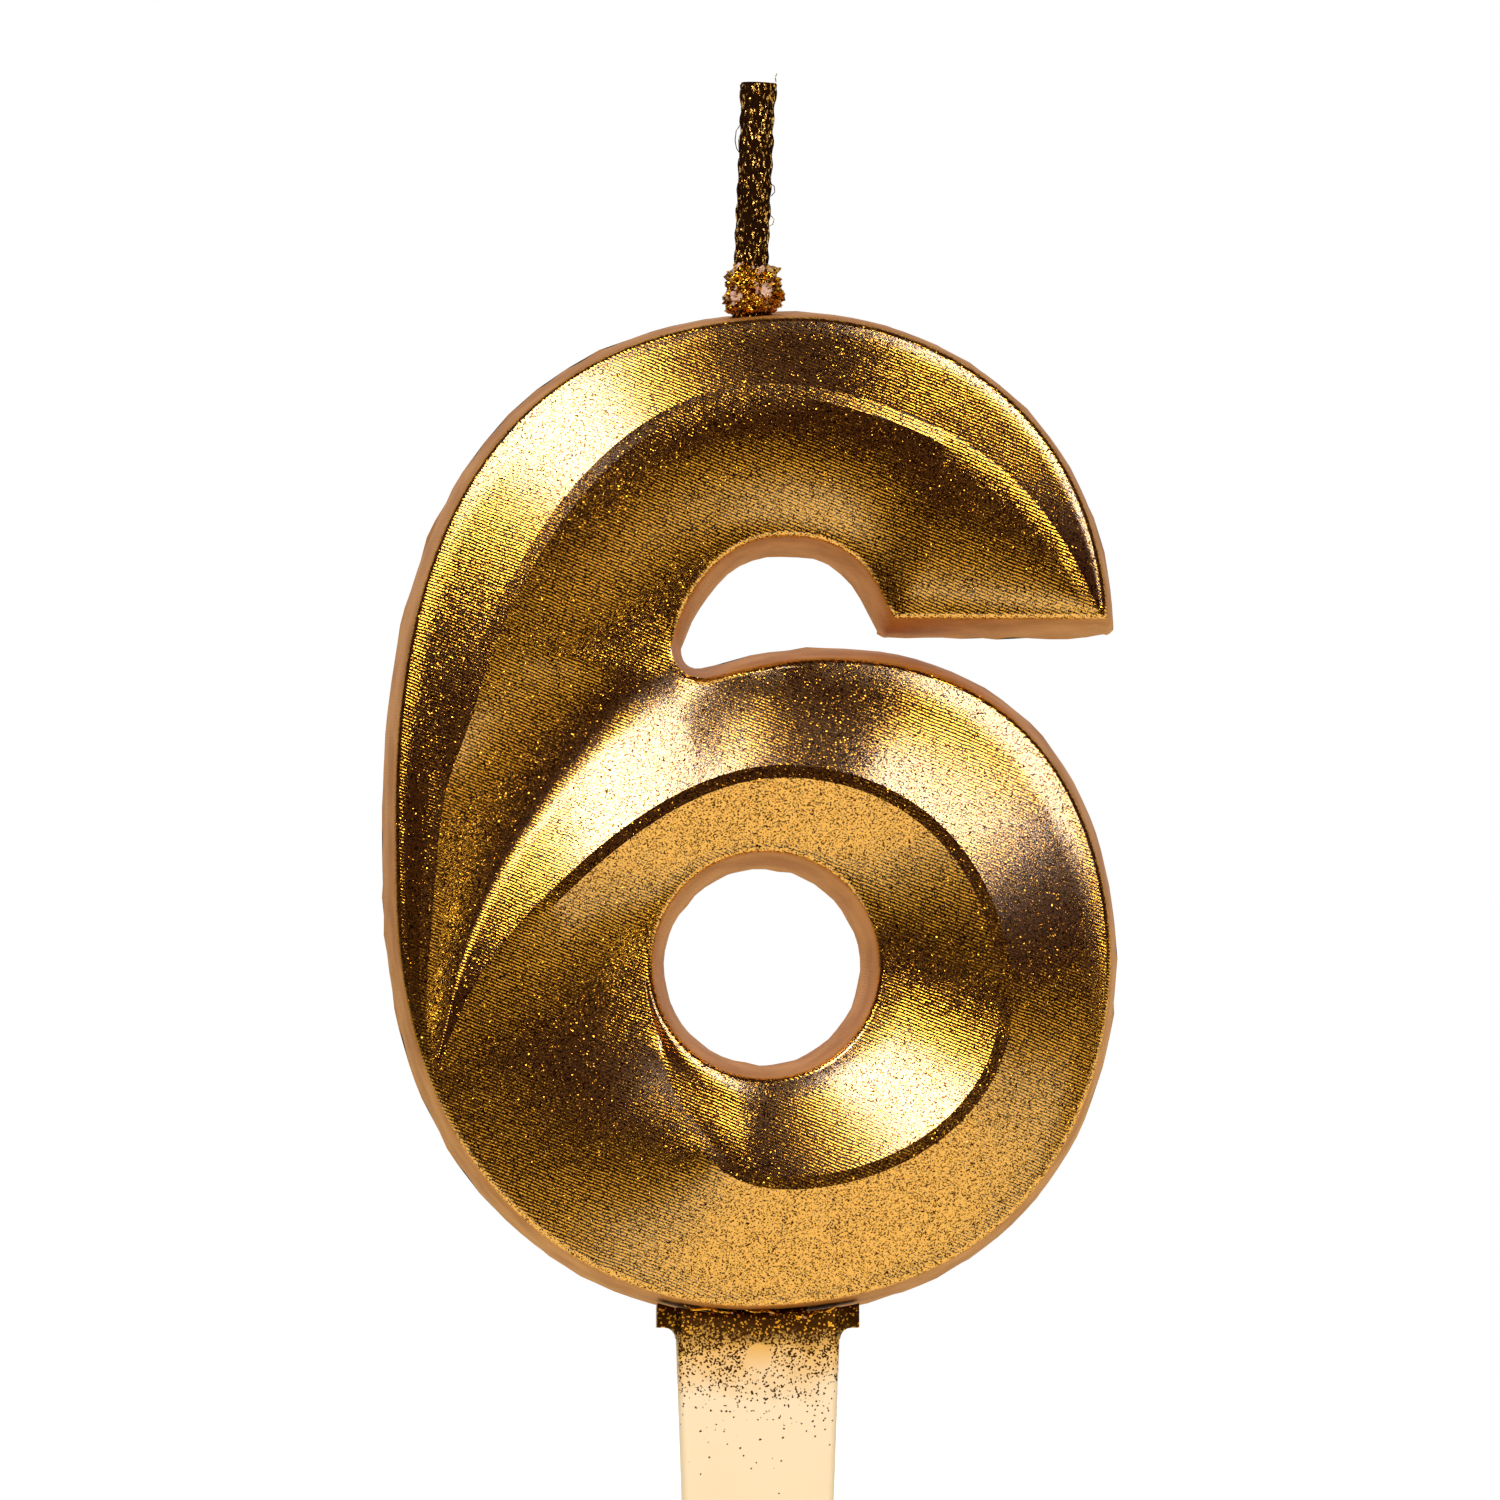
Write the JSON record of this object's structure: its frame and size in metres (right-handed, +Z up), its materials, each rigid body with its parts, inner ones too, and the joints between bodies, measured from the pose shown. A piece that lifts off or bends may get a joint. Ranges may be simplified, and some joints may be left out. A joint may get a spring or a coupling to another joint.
{
  "type": "number candle",
  "caption": "Number candle: a cast wax numeral six with a faceted, spiralling front, a wick in its crown and a flat pick below that holds it in a cake.",
  "frame": {"origin": "middle of the pick's stop, level with the top of the cake", "axes": "+Z up towards the wick, -Y towards the faceted front, +X to the right seen from the front"},
  "size_m": [0.0519, 0.0103, 0.1298],
  "materials": {
    "gold_wax": "cast wax sprayed with gold glitter paint, fine mould lines",
    "wick_cotton": "tight braided cotton, dark, with flecks of gold paint",
    "collar_wax": "lumpy wax, partly covered with gold glitter paint",
    "pick_plastic": "moulded cream plastic with gold overspray at the top"
  },
  "bodies": {
    "root": {"wax_body": "gold_wax", "wick": "wick_cotton", "wick_collar": "collar_wax", "pick": "pick_plastic"}
  },
  "joints": []
}
